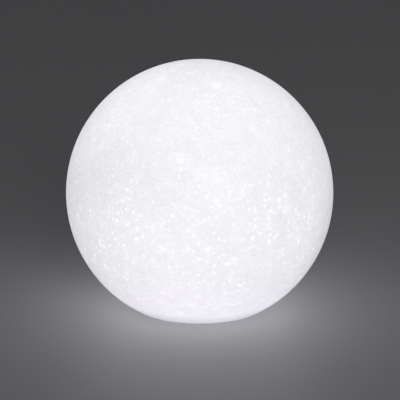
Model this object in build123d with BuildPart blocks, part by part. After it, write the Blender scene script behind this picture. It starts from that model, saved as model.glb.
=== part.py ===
"""Floating pool light: a hollow globe with a flattened foot, and the sealed lamp unit screwed into its mouth.

Millimetres. The origin is the centre of the flat foot, on the ground. +Z is up, and -Y is the front.
"""

import os
from math import sqrt

from build123d import *

os.makedirs("parts", exist_ok=True)

# --- Driving dimensions -----------------------------------------------------

# Globe
globe_radius = 150.0
globe_wall = 3.0
foot_radius = 72.0  # where the sphere would meet the ground
foot_edge_radius = 6.0
recess_depth = 9.0  # ground to the underside of the ledge
ledge_thickness = 3.5
recess_floor_play = 1.2  # ground to the underside of the lamp unit

# Lamp unit
cup_wall = 2.2
base_floor = 3.8
flange_thickness = 6.3
column_radius = 4.2
column_sink = 0.5  # how far a column stands in the cup's wall
collar_wall = 2.2  # round the bores in the floor
pilot_depth = 8.0
short_pilot_depth = 6.0
column_count = 4
column_angle = 45
flange_chamfer = 0.8
underside_groove_width = 1.2
underside_groove_depth = 0.5

# Base screws, M4, and what they turn in
screw_count = 6
base_screw_radius = 2.0
base_screw_length = 12.0
base_head_radius = 3.9
base_head_height = 2.6
washer_overhang = 0.4
washer_thickness = 0.8
insert_radius = 3.2
insert_length = 10.0
insert_waist_depth = 0.5
insert_end_wall = 1.2
insert_end_gap = 1.0
boss_wall = 3.3
boss_gap = 0.5  # from a boss to the mouth and to the recess
boss_rounding = 1.2

# Small screws, M2.5 and M3
small_screw_radius = 1.25
small_screw_length = 5.0
short_screw_length = 4.0
small_head_radius = 2.3
small_head_height = 1.6
cover_screw_radius = 1.5
cover_screw_length = 12.0
cover_head_radius = 2.8
cover_head_height = 2.0

# Charging port
pocket_near_y = 3.0
pocket_corner = 3.5
hinge_chamfer = 1.2
socket_y = 15.4
hinge_y = 27.0
pocket_width = 30.0
pocket_depth = 3.0
flap_thickness = 2.6
well_radius = 8.2
well_depth = 4.8
plug_radius = 7.2
plug_height = 2.2
trunnion_radius = 1.0
trunnion_length = 1.8
socket_barrel_radius = 5.5
socket_flange_radius = 7.6
socket_flange_thickness = 1.6
socket_length = 13.6  # flange face to the back of the body
socket_bore = 3.0
socket_bore_depth = 9.5
contact_radius = 1.0
contact_tail_radius = 0.7
contact_rounding = 0.3
socket_chamfer = 0.4
tag_width = 2.0
tag_height = 2.6
tag_thickness = 0.5
panel_thickness = 3.2
nut_width = 14.0
nut_thickness = 2.5
socket_seal_thickness = 0.8
contact_recess = 0.8
seal_wire = 0.6
seal_rise = 1.1  # from the flap's inner face to the middle of its ring
notch_radius = 5.0
grip_length = 11.0
grip_width = 0.9
grip_depth = 0.4
grip_pitch = 2.0
grip_inset = 4.0

# Power button
button_y = -20.0
button_radius = 6.5
button_height = 3.5
button_travel = 1.2
button_inset = 0.5  # from the underside of the lamp unit to the button's face
button_rim = 0.9
button_rounding = 0.4
dish_depth = 0.8
stem_radius = 2.5
stem_groove_depth = 0.75
stem_groove_width = 1.0
stem_groove_rise = 2.2  # from the stop to the groove
stem_tail = 2.2  # beyond the clip
stem_seal_wire = 0.38
clip_groove_depth = 0.6
clip_thickness = 0.6
clip_width = 1.7
spring_wire = 0.5
spring_turns = 4
spring_room = 3.8  # between the cap and its stop
stop_thickness = 1.5
guide_wall = 2.1
guide_length = 4.6

# Switch and status light
plunger_radius = 1.75
plunger_showing = 1.4
plunger_hidden = 2.0
switch_height = 4.0
switch_size = 8.0
switch_board_width = 13.0
switch_post_radius = 2.8
status_led_length = 3.2
status_led_width = 1.6
status_led_height = 0.8
light_pipe_radius = 1.5
light_pipe_flange = 0.9
light_pipe_flange_thickness = 1.5
light_pipe_wall = 1.7
light_pipe_collar = 3.0
light_pipe_inset = 0.2
light_pipe_gap = 1.2  # from the pipe to the switch board

# Battery
cell_radius = 9.2
cell_length = 65.0
cell_gap = 0.6  # between the two cells, and from a cell to the tray's floor
terminal_radius = 2.8
terminal_height = 0.8
cell_rounding = 0.8
tab_inner_y = 3.0
tab_width = 5.0
tab_thickness = 0.3
tray_thickness = 2.0
tray_edge = 0.6  # beyond the cells on each side
tray_corner = 3.0
tray_ear_radius = 3.2
tray_post_radius = 3.0
cradle_clearance = 0.1
cradle_width = 2.0
clamp_width = 14.0
clamp_metal = 1.6
clamp_foot_rise = 4.0
clamp_foot_length = 8.0
clamp_screw_inset = 3.1
clamp_clearance = 0.2

# Boards, deck and light source
board_thickness = 1.6
component_room = 7.9  # from the control board to the deck
deck_recess = 2.5  # from the cup's rim down to the underside of the deck
deck_thickness = 3.0
standoff_width = 5.5
standoff_hole_depth = 6.5
led_board_radius = 27.0
led_screw_count = 3
led_screw_angle = 30
led_slot_y = 12.6
led_size = 5.0
led_height = 1.6
led_window_depth = 0.3
outer_leds = 9
inner_leds = 3
inner_led_circle = 9.0
dome_seal_thickness = 1.5
dome_radius = 30.5
dome_wall = 2.0
dome_rise = 20.0
dome_flange_thickness = 2.5
dome_pad_radius = 2.9

# Parts on the boards
chip_place = (-14.0, -6.0)
chip_length = 10.0
chip_width = 7.5
chip_height = 1.8
chip_legs = 7  # on each side
chip_leg_pitch = 1.27
chip_leg_span = 9.0
chip_leg_width = 0.5
chip_leg_length = 1.6
chip_leg_height = 0.6
capacitor_places = [(14.0, -8.0), (22.5, -8.0)]
capacitor_radius = 3.2
capacitor_height = 5.6
capacitor_rounding = 0.6
charge_coil_place = (18.0, 6.0)
charge_coil_size = 9.0
charge_coil_corner = 1.5
charge_coil_height = 4.2
receiver_width = 5.4
receiver_depth = 3.6
receiver_height = 6.8
receiver_lens_radius = 1.9
receiver_lens_rise = 4.2
receiver_lens_depth = 1.4

# Wires
lead_radius = 0.7
lead_pitch = 5.0
lead_bend = 6.0
led_lead_bend = 1.2
plug_depth = 4.5
plug_drop = 5.0
plug_side = 2.5
slot_side = 1.5
slot_width = 4.0
slot_corner = 1.0
led_lead_reach = 4.2

# Clearances
mouth_clearance = 1.3
flange_clearance = 0.6
tray_clearance = 1.1  # from the tray to the columns
ear_clearance = 0.9  # from the tray's ears to the cup's wall
board_clearance = 0.9
deck_clearance = 0.3
screw_clearance = 0.2
cover_screw_clearance = 0.15
washer_clearance = 0.3
gasket_inset = 1.0
thread_clearance = 0.05
running_clearance = 0.06
button_clearance = 0.2
flap_clearance = 0.4

# --- What follows from them ---------------------------------------------------

centre_z = sqrt(globe_radius**2 - foot_radius**2)
base_z = recess_floor_play
floor_z = base_z + base_floor
flange_z = base_z + flange_thickness
gasket_thickness = recess_depth - flange_z

# The cup is as wide as the battery tray needs, between the columns and at its ears.
cell_pitch = 2 * cell_radius + cell_gap
tray_width = cell_pitch + 2 * cell_radius + 2 * tray_edge
tray_post_x = cell_length / 2 + tab_thickness + cell_gap + 1.0
column_reach = sqrt(2) * (tray_width / 2 + tray_clearance + column_radius) + column_radius - column_sink
cup_bore = round(max(column_reach, tray_post_x + tray_ear_radius + ear_clearance), 1)
cup_radius = cup_bore + cup_wall
column_circle = cup_bore - column_radius + column_sink

mouth_radius = cup_radius + mouth_clearance
boss_radius = insert_radius + boss_wall
screw_circle = mouth_radius + boss_radius + boss_gap
recess_radius = screw_circle + boss_radius + boss_gap
flange_radius = recess_radius - flange_clearance

print("globe height", round(centre_z + globe_radius, 2), "recess radius", recess_radius)


# --- Shared shapes --------------------------------------------------------------

def cap_arc(foot, radius, rise):
    """The section of a spherical cap that stands on a circle of `radius` at the height `foot`."""
    sphere = (radius**2 + rise**2) / (2 * rise)
    turn_cos = (sphere - rise) / sphere
    middle = (sphere * sqrt((1 - turn_cos) / 2), foot + rise - sphere + sphere * sqrt((1 + turn_cos) / 2))
    ThreePointArc((radius, foot), middle, (0, foot + rise))


def machine_screw(shank_radius, length, head_radius, head_height):
    """A pan-head screw with a cross recess, head up, its seat on XY and its shank down -Z."""
    tip = 0.3 * shank_radius
    crown = 0.35 * head_height
    with BuildPart() as screw:
        with BuildSketch(Plane.XZ):
            with BuildLine():
                Polyline(
                    (0, head_height),
                    (0, -length),
                    (shank_radius - tip, -length),
                    (shank_radius, tip - length),
                    (shank_radius, 0),
                    (head_radius, 0),
                    (head_radius, head_height - crown),
                )
                cap_arc(head_height - crown, head_radius, crown)
            make_face()
        revolve(axis=Axis.Z)
        with BuildSketch(Plane.XY.offset(head_height)):
            Rectangle(1.1 * head_radius, 0.28 * head_radius)
            Rectangle(0.28 * head_radius, 1.1 * head_radius)
        extrude(amount=-0.6 * head_height, mode=Mode.SUBTRACT)
    return screw.part


def flat_ring(bottom, thickness, outer, inner):
    """A flat washer or gasket about Z, its lower face at the height `bottom`."""
    with BuildPart() as ring:
        with BuildSketch(Plane.XY.offset(bottom)):
            Circle(outer)
            Circle(inner, mode=Mode.SUBTRACT)
        extrude(amount=thickness)
    return ring.part


def lead_pair(plane_x, points, bend):
    """Two insulated wires side by side about X, each of straight runs joined by an arc of radius `bend`."""
    with BuildPart() as pair:
        for side in (-1, 1):
            with BuildLine(Plane.YZ.offset(plane_x + side * lead_pitch / 2)) as route:
                FilletPolyline(*points, radius=bend)
            with BuildSketch(Plane(origin=route.line @ 0, z_dir=route.line % 0)):
                Circle(lead_radius)
            sweep(path=route.line)
    return pair.part


# --- Globe ------------------------------------------------------------------------

# The rounded edge of the foot is an arc tangent to the sphere and to the flat.
edge_centre_r = sqrt((globe_radius - foot_edge_radius) ** 2 - (centre_z - foot_edge_radius) ** 2)
edge_sin = edge_centre_r / (globe_radius - foot_edge_radius)
edge_cos = (centre_z - foot_edge_radius) / (globe_radius - foot_edge_radius)
half_sin = sqrt((1 - edge_cos) / 2)
half_cos = sqrt((1 + edge_cos) / 2)
ledge_top = recess_depth + ledge_thickness
recess_back = recess_radius + globe_wall
boss_top = recess_depth + insert_length + boss_wall


def skin_arcs(offset):
    """The sphere's arc and the foot edge's arc, both `offset` inside the outer skin."""
    sphere = globe_radius - offset
    edge = foot_edge_radius - offset
    meeting = (sphere * edge_sin, centre_z - sphere * edge_cos)
    ThreePointArc((0, centre_z + sphere), (sphere, centre_z), meeting)
    ThreePointArc(
        meeting,
        (edge_centre_r + edge * half_sin, foot_edge_radius - edge * half_cos),
        (edge_centre_r, offset),
    )


with BuildPart() as globe_shell:
    with BuildSketch(Plane.XZ):
        with BuildLine():
            skin_arcs(0)
            FilletPolyline(
                (edge_centre_r, 0),
                (recess_radius, 0),
                (recess_radius, recess_depth),
                (mouth_radius, recess_depth),
                (mouth_radius, ledge_top),
                (recess_back, ledge_top),
                (recess_back, globe_wall),
                (edge_centre_r, globe_wall),
                radius=0.25 * globe_wall,
            )
            skin_arcs(globe_wall)
            Line((0, centre_z + globe_radius - globe_wall), (0, centre_z + globe_radius))
        make_face()
    revolve(axis=Axis.Z)
    # Bosses on the ledge, moulded round the inserts
    with BuildSketch(Plane.XY.offset(recess_depth + 0.5 * ledge_thickness)):
        with PolarLocations(screw_circle, screw_count):
            Circle(boss_radius)
    extrude(amount=boss_top - recess_depth - 0.5 * ledge_thickness)
    boss_rims = edges().filter_by(GeomType.CIRCLE).filter_by_position(Axis.Z, boss_top - 0.1, boss_top + 0.1)
    fillet(boss_rims, boss_rounding)
    with BuildSketch(Plane.XY.offset(recess_depth)):
        with PolarLocations(screw_circle, screw_count):
            Circle(insert_radius)
    extrude(amount=insert_length + insert_end_gap, mode=Mode.SUBTRACT)
globe_shell.part.label = "globe_shell"
export_step(globe_shell.part, "parts/globe_shell.step")

with BuildPart() as insert:
    with BuildSketch(Plane.XZ):
        with BuildLine():
            Polyline(
                (base_screw_radius + thread_clearance, 0),
                (insert_radius, 0),
                (insert_radius, 0.4 * insert_length),
                (insert_radius - insert_waist_depth, 0.44 * insert_length),
                (insert_radius - insert_waist_depth, 0.56 * insert_length),
                (insert_radius, 0.6 * insert_length),
                (insert_radius, insert_length - insert_waist_depth),
                (insert_radius - insert_waist_depth, insert_length),
                (0, insert_length),
                (0, insert_length - insert_end_wall),
                (base_screw_radius + thread_clearance, insert_length - insert_end_wall),
                close=True,
            )
        make_face()
    revolve(axis=Axis.Z)

with BuildPart() as threaded_inserts:
    with Locations((0, 0, recess_depth)):
        with PolarLocations(screw_circle, screw_count):
            add(insert.part)
threaded_inserts.part.label = "threaded_inserts"
export_step(threaded_inserts.part, "parts/threaded_inserts.step")

with BuildPart() as mouth_gasket:
    with BuildSketch(Plane.XY.offset(flange_z)):
        Circle(recess_radius - gasket_inset)
        Circle(mouth_radius + gasket_inset, mode=Mode.SUBTRACT)
        with PolarLocations(screw_circle, screw_count):
            Circle(base_screw_radius + washer_clearance, mode=Mode.SUBTRACT)
    extrude(amount=gasket_thickness)
mouth_gasket.part.label = "mouth_gasket"
export_step(mouth_gasket.part, "parts/mouth_gasket.step")

# --- Base screws and their sealing washers --------------------------------------------

head_seat = base_z + base_head_height + screw_clearance
washer_radius = base_head_radius + washer_overhang

with BuildPart() as screw_washers:
    with Locations((0, 0, head_seat)):
        with PolarLocations(screw_circle, screw_count):
            add(flat_ring(0, washer_thickness, washer_radius, base_screw_radius + thread_clearance))
screw_washers.part.label = "screw_washers"
export_step(screw_washers.part, "parts/screw_washers.step")

base_screw = machine_screw(base_screw_radius, base_screw_length, base_head_radius, base_head_height)
with BuildPart() as base_screws:
    with Locations((0, 0, head_seat)):
        with PolarLocations(screw_circle, screw_count):
            add(base_screw, rotation=(180, 0, 0))
base_screws.part.label = "base_screws"
export_step(base_screws.part, "parts/base_screws.step")

# --- Heights and places inside the lamp unit ---------------------------------------------

# Charging port
barrel_radius = flap_thickness / 2
hinge_z = base_z + barrel_radius
pocket_far_y = hinge_y + barrel_radius + 0.5
well_top = base_z + pocket_depth + well_depth
panel_top = well_top + panel_thickness
socket_seat = well_top - socket_seal_thickness
socket_face = socket_seat - socket_flange_thickness
socket_back = socket_face + socket_length

# Power button
button_face = base_z + button_inset
button_top = button_face + button_height
spring_stop = button_top + spring_room
spring_radius = (stem_radius + button_radius) / 2 - 0.3
guide_top = spring_stop + guide_length
clip_z = guide_top + 0.1
stem_end = clip_z + clip_thickness + stem_tail

# Switch board, from beyond the button on one side to beyond the status light on the other
switch_z = stem_end + plunger_showing
switch_board_z = switch_z + switch_height
light_pipe_x = button_radius + button_clearance + collar_wall + light_pipe_radius + light_pipe_flange + 0.3
light_pipe_y = button_y + 3.5
light_pipe_collar_z = floor_z + light_pipe_collar
light_pipe_foot = base_z + light_pipe_inset
switch_board_left = -button_radius - 4.5
switch_board_right = light_pipe_x + 5.4
switch_board_length = switch_board_right - switch_board_left
switch_board_x = (switch_board_left + switch_board_right) / 2
switch_board_y = button_y + 0.5
switch_screws = [
    (switch_board_left + switch_post_radius, button_y + 5.2),
    (switch_board_right - switch_post_radius, button_y - 3.4),
]

# Battery
small_head_room = small_head_height + 0.9
tray_z = switch_board_z + board_thickness + small_head_room
cell_z = tray_z + tray_thickness + cell_gap + cell_radius
clamp_reach = tray_width / 2 + clamp_foot_length
clamp_foot_z = tray_z + clamp_foot_rise
clamp_screw_y = clamp_reach - clamp_screw_inset
clamp_top = cell_z + cell_radius + 0.4 + clamp_metal

# Control board, deck and light source
board_z = clamp_top + 3.0
board_radius = cup_bore - board_clearance
board_flat = board_radius - 6.1
deck_z = board_z + board_thickness + component_room
cup_top = deck_z + deck_recess
led_board_z = deck_z + deck_thickness
led_top = led_board_z + board_thickness
dome_z = cup_top + dome_seal_thickness
dome_flange_top = dome_z + dome_flange_thickness
led_board_screw_circle = led_board_radius - 3.0

# Wires
lead_y = board_flat - 0.5 - plug_depth / 2
lead_stop = board_z - plug_drop

print("cell z", round(cell_z, 2), "board z", round(board_z, 2), "deck z", round(deck_z, 2))

# --- Lamp base: flange and cup in one moulding ------------------------------------------

with BuildPart() as lamp_base:
    with BuildSketch(Plane.XY.offset(base_z)):
        Circle(flange_radius)
    extrude(amount=flange_thickness)
    chamfer(faces().sort_by(Axis.Z)[0].edges(), flange_chamfer)
    with BuildSketch(Plane.XY.offset(flange_z)):
        Circle(cup_radius)
    extrude(amount=cup_top - flange_z)
    with BuildSketch(Plane.XY.offset(floor_z)):
        Circle(cup_bore)
    extrude(amount=cup_top - floor_z, mode=Mode.SUBTRACT)
    # Columns that carry the control board, posts for the battery tray and for the switch board
    with BuildSketch(Plane.XY.offset(floor_z)):
        with PolarLocations(column_circle, column_count, start_angle=column_angle):
            Circle(column_radius)
    extrude(amount=board_z - floor_z)
    with BuildSketch(Plane.XY.offset(floor_z)):
        with Locations((-tray_post_x, 0), (tray_post_x, 0)):
            Circle(tray_post_radius)
    extrude(amount=tray_z - floor_z)
    with BuildSketch(Plane.XY.offset(floor_z)):
        with Locations(*switch_screws):
            Circle(switch_post_radius)
    extrude(amount=switch_board_z - floor_z)
    # Charging port: a lid pocket, a well for the flap's plug and a panel for the socket
    with BuildSketch(Plane.XY.offset(floor_z)):
        with Locations((0, (pocket_near_y + pocket_far_y) / 2)):
            Rectangle(pocket_width + 2 * collar_wall, pocket_far_y - pocket_near_y + 2 * collar_wall)
    extrude(amount=base_z + pocket_depth + collar_wall - floor_z)
    with BuildSketch(Plane.XY.offset(floor_z)):
        with Locations((0, socket_y)):
            Circle(well_radius + collar_wall)
    extrude(amount=panel_top - floor_z)
    with BuildSketch(Plane.XY.offset(base_z)):
        with Locations((0, (pocket_near_y + pocket_far_y) / 2)):
            Rectangle(pocket_width, pocket_far_y - pocket_near_y)
        fillet(vertices().group_by(Axis.Y)[0], pocket_corner)
    extrude(amount=pocket_depth, mode=Mode.SUBTRACT)
    hinge_rim = edges().filter_by(Axis.X).filter_by_position(Axis.Z, base_z - 0.01, base_z + 0.01)
    chamfer(hinge_rim.sort_by(Axis.Y)[-1], hinge_chamfer)
    with BuildSketch(Plane.XY.offset(base_z)):
        with Locations((0, pocket_near_y)):
            Circle(notch_radius)
    extrude(amount=0.5 * base_floor, mode=Mode.SUBTRACT)
    with BuildSketch(Plane.XY.offset(base_z)):
        with Locations((0, socket_y)):
            Circle(well_radius)
    extrude(amount=well_top - base_z, mode=Mode.SUBTRACT)
    with BuildSketch(Plane.XY.offset(well_top)):
        with Locations((0, socket_y)):
            Circle(socket_barrel_radius + thread_clearance)
    extrude(amount=panel_thickness, mode=Mode.SUBTRACT)
    trunnion_reach = pocket_width / 2 + trunnion_length + 0.2
    with BuildSketch(Plane.YZ.offset(-trunnion_reach)):
        with Locations((hinge_y, hinge_z)):
            Circle(trunnion_radius + running_clearance)
    extrude(amount=2 * trunnion_reach, mode=Mode.SUBTRACT)
    # Button bore, its stop, and the guide that the stem slides in
    with BuildSketch(Plane.XY.offset(floor_z)):
        with Locations((0, button_y)):
            Circle(button_radius + button_clearance + collar_wall)
    extrude(amount=spring_stop + stop_thickness - floor_z)
    with BuildSketch(Plane.XY.offset(spring_stop)):
        with Locations((0, button_y)):
            Circle(stem_radius + guide_wall)
    extrude(amount=guide_length)
    with BuildSketch(Plane.XY.offset(base_z)):
        with Locations((0, button_y)):
            Circle(button_radius + button_clearance)
    extrude(amount=spring_stop - base_z, mode=Mode.SUBTRACT)
    with BuildSketch(Plane.XY.offset(spring_stop)):
        with Locations((0, button_y)):
            Circle(stem_radius + running_clearance)
    extrude(amount=guide_length, mode=Mode.SUBTRACT)
    # Status light
    with BuildSketch(Plane.XY.offset(floor_z)):
        with Locations((light_pipe_x, light_pipe_y)):
            Circle(light_pipe_radius + light_pipe_wall)
    extrude(amount=light_pipe_collar_z - floor_z)
    with BuildSketch(Plane.XY.offset(base_z)):
        with Locations((light_pipe_x, light_pipe_y)):
            Circle(light_pipe_radius + thread_clearance)
    extrude(amount=light_pipe_collar_z - base_z, mode=Mode.SUBTRACT)
    # Screw holes
    with BuildSketch(Plane.XY.offset(base_z)):
        with PolarLocations(screw_circle, screw_count):
            Circle(washer_radius + washer_clearance)
    extrude(amount=head_seat + washer_thickness - base_z, mode=Mode.SUBTRACT)
    with BuildSketch(Plane.XY.offset(base_z)):
        with PolarLocations(screw_circle, screw_count):
            Circle(base_screw_radius + screw_clearance)
    extrude(amount=flange_thickness, mode=Mode.SUBTRACT)
    with BuildSketch(Plane.XY.offset(board_z)):
        with PolarLocations(column_circle, column_count, start_angle=column_angle):
            Circle(cover_screw_radius + thread_clearance)
    extrude(amount=-pilot_depth, mode=Mode.SUBTRACT)
    with BuildSketch(Plane.XY.offset(tray_z)):
        with Locations((-tray_post_x, 0), (tray_post_x, 0)):
            Circle(small_screw_radius + thread_clearance)
    extrude(amount=-pilot_depth, mode=Mode.SUBTRACT)
    with BuildSketch(Plane.XY.offset(switch_board_z)):
        with Locations(*switch_screws):
            Circle(small_screw_radius + thread_clearance)
    extrude(amount=-short_pilot_depth, mode=Mode.SUBTRACT)
    # A fine groove on the underside, above the cup's wall
    with BuildSketch(Plane.XY.offset(base_z)):
        Circle(cup_radius)
        Circle(cup_radius - underside_groove_width, mode=Mode.SUBTRACT)
    extrude(amount=underside_groove_depth, mode=Mode.SUBTRACT)
lamp_base.part.label = "lamp_base"
export_step(lamp_base.part, "parts/lamp_base.step")

# --- Charging port --------------------------------------------------------------------------

flap_width = pocket_width - 2 * flap_clearance
flap_near_y = pocket_near_y + flap_clearance
seal_z = base_z + flap_thickness + seal_rise

with BuildPart() as port_flap:
    with BuildSketch(Plane.XY.offset(base_z)):
        with Locations((0, (flap_near_y + hinge_y) / 2)):
            Rectangle(flap_width, hinge_y - flap_near_y)
        fillet(vertices().group_by(Axis.Y)[0], pocket_corner - flap_clearance)
    extrude(amount=flap_thickness)
    with BuildSketch(Plane.YZ.offset(-flap_width / 2)):
        with Locations((hinge_y, hinge_z)):
            Circle(barrel_radius)
    extrude(amount=flap_width)
    with BuildSketch(Plane.YZ.offset(-pocket_width / 2 - trunnion_length)):
        with Locations((hinge_y, hinge_z)):
            Circle(trunnion_radius)
    extrude(amount=pocket_width + 2 * trunnion_length)
    with BuildSketch(Plane.XY.offset(base_z + flap_thickness)):
        with Locations((0, socket_y)):
            Circle(plug_radius)
    extrude(amount=plug_height)
    # Groove of the sealing ring
    with BuildSketch(Plane.XY.offset(seal_z - seal_wire)):
        with Locations((0, socket_y)):
            Circle(plug_radius)
            Circle(plug_radius - seal_wire, mode=Mode.SUBTRACT)
    extrude(amount=2 * seal_wire, mode=Mode.SUBTRACT)
    # Grip grooves beside the edge that a finger lifts
    with BuildSketch(Plane.XY.offset(base_z)):
        with Locations((0, flap_near_y + grip_inset)):
            with GridLocations(1, grip_pitch, 1, 3):
                SlotOverall(grip_length, grip_width)
    extrude(amount=grip_depth, mode=Mode.SUBTRACT)
port_flap.part.label = "port_flap"
export_step(port_flap.part, "parts/port_flap.step")

with BuildPart() as flap_seal:
    with Locations((0, socket_y, seal_z)):
        Torus(plug_radius, seal_wire)
flap_seal.part.label = "flap_seal"
export_step(flap_seal.part, "parts/flap_seal.step")

with BuildPart() as dc_socket:
    with BuildSketch(Plane.XY.offset(socket_face)):
        with Locations((0, socket_y)):
            Circle(socket_flange_radius)
    extrude(amount=socket_flange_thickness)
    chamfer(faces().sort_by(Axis.Z)[0].edges(), socket_chamfer)
    with BuildSketch(Plane.XY.offset(socket_seat)):
        with Locations((0, socket_y)):
            Circle(socket_barrel_radius)
    extrude(amount=socket_back - socket_seat)
    with BuildSketch(Plane.XY.offset(socket_face)):
        with Locations((0, socket_y)):
            Circle(socket_bore)
    extrude(amount=socket_bore_depth, mode=Mode.SUBTRACT)
    with BuildSketch(Plane.XY.offset(socket_back)):
        with Locations((0, socket_y)):
            Circle(contact_tail_radius)
    extrude(amount=socket_bore_depth - socket_length, mode=Mode.SUBTRACT)
dc_socket.part.label = "dc_socket"
export_step(dc_socket.part, "parts/dc_socket.step")

with BuildPart() as dc_contact_pin:
    with BuildSketch(Plane.XY.offset(socket_face + contact_recess)):
        with Locations((0, socket_y)):
            Circle(contact_radius)
    extrude(amount=socket_bore_depth - contact_recess)
    fillet(faces().sort_by(Axis.Z)[0].edges(), contact_rounding)
    with BuildSketch(Plane.XY.offset(socket_face + socket_bore_depth)):
        with Locations((0, socket_y)):
            Circle(contact_tail_radius)
    extrude(amount=socket_length - socket_bore_depth + tag_height)
dc_contact_pin.part.label = "dc_contact_pin"
export_step(dc_contact_pin.part, "parts/dc_contact_pin.step")

with BuildPart() as dc_terminals:
    with BuildSketch(Plane.XY.offset(socket_back)):
        with Locations((0, socket_y)):
            with GridLocations(lead_pitch, 1, 2, 1):
                Rectangle(tag_width, tag_thickness)
    extrude(amount=tag_height)
dc_terminals.part.label = "dc_terminals"
export_step(dc_terminals.part, "parts/dc_terminals.step")

with BuildPart() as dc_socket_seal:
    with Locations((0, socket_y)):
        add(flat_ring(socket_seat, socket_seal_thickness, socket_flange_radius, socket_barrel_radius))
dc_socket_seal.part.label = "dc_socket_seal"
export_step(dc_socket_seal.part, "parts/dc_socket_seal.step")

with BuildPart() as dc_socket_nut:
    with BuildSketch(Plane.XY.offset(panel_top)):
        with Locations((0, socket_y)):
            RegularPolygon(nut_width / 2, 6, major_radius=False)
            Circle(socket_barrel_radius + thread_clearance, mode=Mode.SUBTRACT)
    extrude(amount=nut_thickness)
dc_socket_nut.part.label = "dc_socket_nut"
export_step(dc_socket_nut.part, "parts/dc_socket_nut.step")

# --- Power button -----------------------------------------------------------------------------

groove_root = stem_radius - stem_groove_depth
groove_z = spring_stop + stem_groove_rise
clip_root = stem_radius - clip_groove_depth
dish_radius = button_radius - button_rim
dish_top = button_face + dish_depth
dish_middle = (0.518 * dish_radius, button_face + 0.725 * dish_depth)

with BuildPart() as button_cap:
    with BuildSketch(Plane.XZ):
        with BuildLine():
            # A shallow dish for the finger, then the cap, the stem and its two grooves
            dish = ThreePointArc((0, dish_top), dish_middle, (dish_radius, button_face))
            Polyline(
                dish @ 1,
                (button_radius - button_rounding, button_face),
                (button_radius, button_face + button_rounding),
                (button_radius, button_top),
                (stem_radius, button_top),
                (stem_radius, groove_z),
                (groove_root, groove_z),
                (groove_root, groove_z + stem_groove_width),
                (stem_radius, groove_z + stem_groove_width),
                (stem_radius, clip_z),
                (clip_root, clip_z),
                (clip_root, clip_z + clip_thickness),
                (stem_radius, clip_z + clip_thickness),
                (stem_radius, stem_end - button_rounding),
                (stem_radius - button_rounding, stem_end),
                (0, stem_end),
                dish @ 0,
            )
        make_face()
    revolve(axis=Axis.Z)
button_cap.part.position = (0, button_y, 0)
button_cap.part.label = "button_cap"
export_step(button_cap.part, "parts/button_cap.step")

with BuildPart() as button_seal:
    with Locations((0, button_y, groove_z + stem_groove_width / 2)):
        Torus(groove_root + stem_seal_wire, stem_seal_wire)
button_seal.part.label = "button_seal"
export_step(button_seal.part, "parts/button_seal.step")

with BuildPart() as button_clip:
    with BuildSketch(Plane.XY.offset(clip_z)):
        with Locations((0, button_y)):
            Circle(stem_radius + clip_width)
            Circle(clip_root, mode=Mode.SUBTRACT)
        with Locations((stem_radius + clip_width, button_y)):
            Rectangle(2 * (stem_radius + clip_width), 1.4 * clip_root, mode=Mode.SUBTRACT)
    extrude(amount=clip_thickness)
button_clip.part.label = "button_clip"
export_step(button_clip.part, "parts/button_clip.step")

with BuildPart() as button_spring:
    coil_height = spring_room - spring_wire
    with BuildLine() as coil:
        Helix(
            pitch=coil_height / spring_turns,
            height=coil_height,
            radius=spring_radius,
            center=(0, button_y, button_top + spring_wire / 2),
        )
    with BuildSketch(Plane(origin=coil.line @ 0, z_dir=coil.line % 0)):
        Circle(spring_wire / 2)
    sweep(path=coil.line, is_frenet=True)
button_spring.part.label = "button_spring"
export_step(button_spring.part, "parts/button_spring.step")

with BuildPart() as switch_plunger:
    with BuildSketch(Plane.XY.offset(stem_end)):
        with Locations((0, button_y)):
            Circle(plunger_radius)
    extrude(amount=plunger_showing + plunger_hidden)
switch_plunger.part.label = "switch_plunger"
export_step(switch_plunger.part, "parts/switch_plunger.step")

with BuildPart() as switch_body:
    with BuildSketch(Plane.XY.offset(switch_z)):
        with Locations((0, button_y)):
            Rectangle(switch_size, switch_size)
    extrude(amount=switch_height)
    with BuildSketch(Plane.XY.offset(switch_z)):
        with Locations((0, button_y)):
            Circle(plunger_radius + 0.1)
    extrude(amount=plunger_hidden + button_travel + 0.2, mode=Mode.SUBTRACT)
switch_body.part.label = "switch_body"
export_step(switch_body.part, "parts/switch_body.step")

with BuildPart() as switch_board:
    with BuildSketch(Plane.XY.offset(switch_board_z)):
        with Locations((switch_board_x, switch_board_y)):
            Rectangle(switch_board_length, switch_board_width)
        with Locations(*switch_screws):
            Circle(small_screw_radius + screw_clearance, mode=Mode.SUBTRACT)
    extrude(amount=board_thickness)
switch_board.part.label = "switch_board"
export_step(switch_board.part, "parts/switch_board.step")

small_screw = machine_screw(small_screw_radius, small_screw_length, small_head_radius, small_head_height)
with BuildPart() as switch_board_screws:
    with Locations(*[(x, y, switch_board_z + board_thickness) for x, y in switch_screws]):
        add(small_screw)
switch_board_screws.part.label = "switch_board_screws"
export_step(switch_board_screws.part, "parts/switch_board_screws.step")

with BuildPart() as status_led:
    with BuildSketch(Plane.XY.offset(switch_board_z)):
        with Locations((light_pipe_x, light_pipe_y)):
            Rectangle(status_led_length, status_led_width)
    extrude(amount=-status_led_height)
status_led.part.label = "status_led"
export_step(status_led.part, "parts/status_led.step")

with BuildPart() as status_light_pipe:
    with BuildSketch(Plane.XY.offset(light_pipe_foot)):
        with Locations((light_pipe_x, light_pipe_y)):
            Circle(light_pipe_radius)
    extrude(amount=switch_board_z - light_pipe_gap - light_pipe_foot)
    with BuildSketch(Plane.XY.offset(light_pipe_collar_z)):
        with Locations((light_pipe_x, light_pipe_y)):
            Circle(light_pipe_radius + light_pipe_flange)
    extrude(amount=light_pipe_flange_thickness)
status_light_pipe.part.label = "status_light_pipe"
export_step(status_light_pipe.part, "parts/status_light_pipe.step")

# --- Battery ------------------------------------------------------------------------------------

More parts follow.
